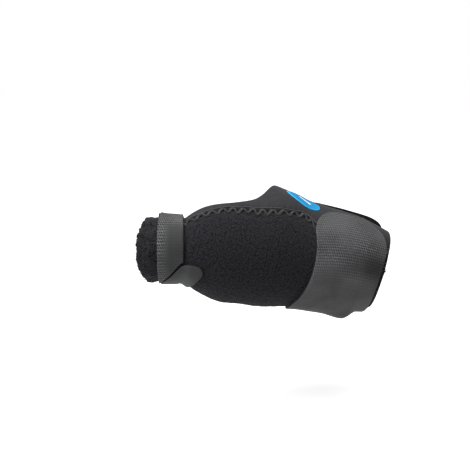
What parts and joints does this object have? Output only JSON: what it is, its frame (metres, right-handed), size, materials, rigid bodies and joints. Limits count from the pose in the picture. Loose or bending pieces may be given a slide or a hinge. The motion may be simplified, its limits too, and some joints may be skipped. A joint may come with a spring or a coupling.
{
  "type": "thumb and wrist splint",
  "caption": "Left-hand neoprene thumb and wrist splint, worn shape, with thumb sleeve, hand opening, wide wrist strap and narrow thumb strap.",
  "frame": {"origin": "centre of the wrist opening", "axes": "+X along the hand from thumb tip to forearm, -Y thumb side, +Z palm side"},
  "size_m": [0.1221, 0.0761, 0.0666],
  "materials": {
    "loop_pile": "short unbroken-loop pile",
    "smooth_knit": "smooth stretch knit",
    "neoprene": "matt closed-cell foam",
    "terry": "terry loop lining",
    "strap_knit": "grey warp knit",
    "thread": "bonded polyester thread",
    "hook_tape": "moulded hooks",
    "label": "heat-bonded film label"
  },
  "bodies": {
    "splint": {"radial_face": "loop_pile", "radial_foam": "neoprene", "radial_lining": "terry", "palmar_face": "smooth_knit", "palmar_foam": "neoprene", "palmar_lining": "terry", "thumb_sleeve_face": "loop_pile", "thumb_sleeve_foam": "neoprene", "thumb_sleeve_lining": "terry", "palmar_seam_stitches": "thread", "dorsal_seam_stitches": "thread", "sleeve_seam_stitches": "thread", "wrist_root_face": "strap_knit", "wrist_root_foam": "neoprene", "wrist_root_stitches": "thread", "thumb_wrap_face": "strap_knit", "thumb_wrap_foam": "neoprene", "palm_label": "label"},
    "wrist_strap": {"wrist_strap_face": "strap_knit", "wrist_strap_foam": "neoprene"},
    "wrist_tip": {"wrist_tip_face": "strap_knit", "wrist_tip_foam": "neoprene", "wrist_tip_hook": "hook_tape"},
    "thumb_flap": {"thumb_flap_face": "strap_knit", "thumb_flap_foam": "neoprene", "thumb_flap_hook": "hook_tape"}
  },
  "joints": [
    {"name": "wrist_strap_peel", "type": "hinge", "parent": "splint", "child": "wrist_strap", "pos_m": [-0.02599, 0.00362, -0.01905], "axis": [0.9879, 0.0078, -0.155], "range_deg": [0, 100]},
    {"name": "wrist_tip_peel", "type": "hinge", "parent": "wrist_strap", "child": "wrist_tip", "pos_m": [-0.01657, -0.03381, 0.00102], "axis": [0.9661, 0.1719, -0.1926], "range_deg": [0, 70]},
    {"name": "thumb_flap_peel", "type": "hinge", "parent": "splint", "child": "thumb_flap", "pos_m": [-0.10127, -0.01951, 0.00037], "axis": [0.9994, 0, 0.0356], "range_deg": [0, 100]}
  ]
}
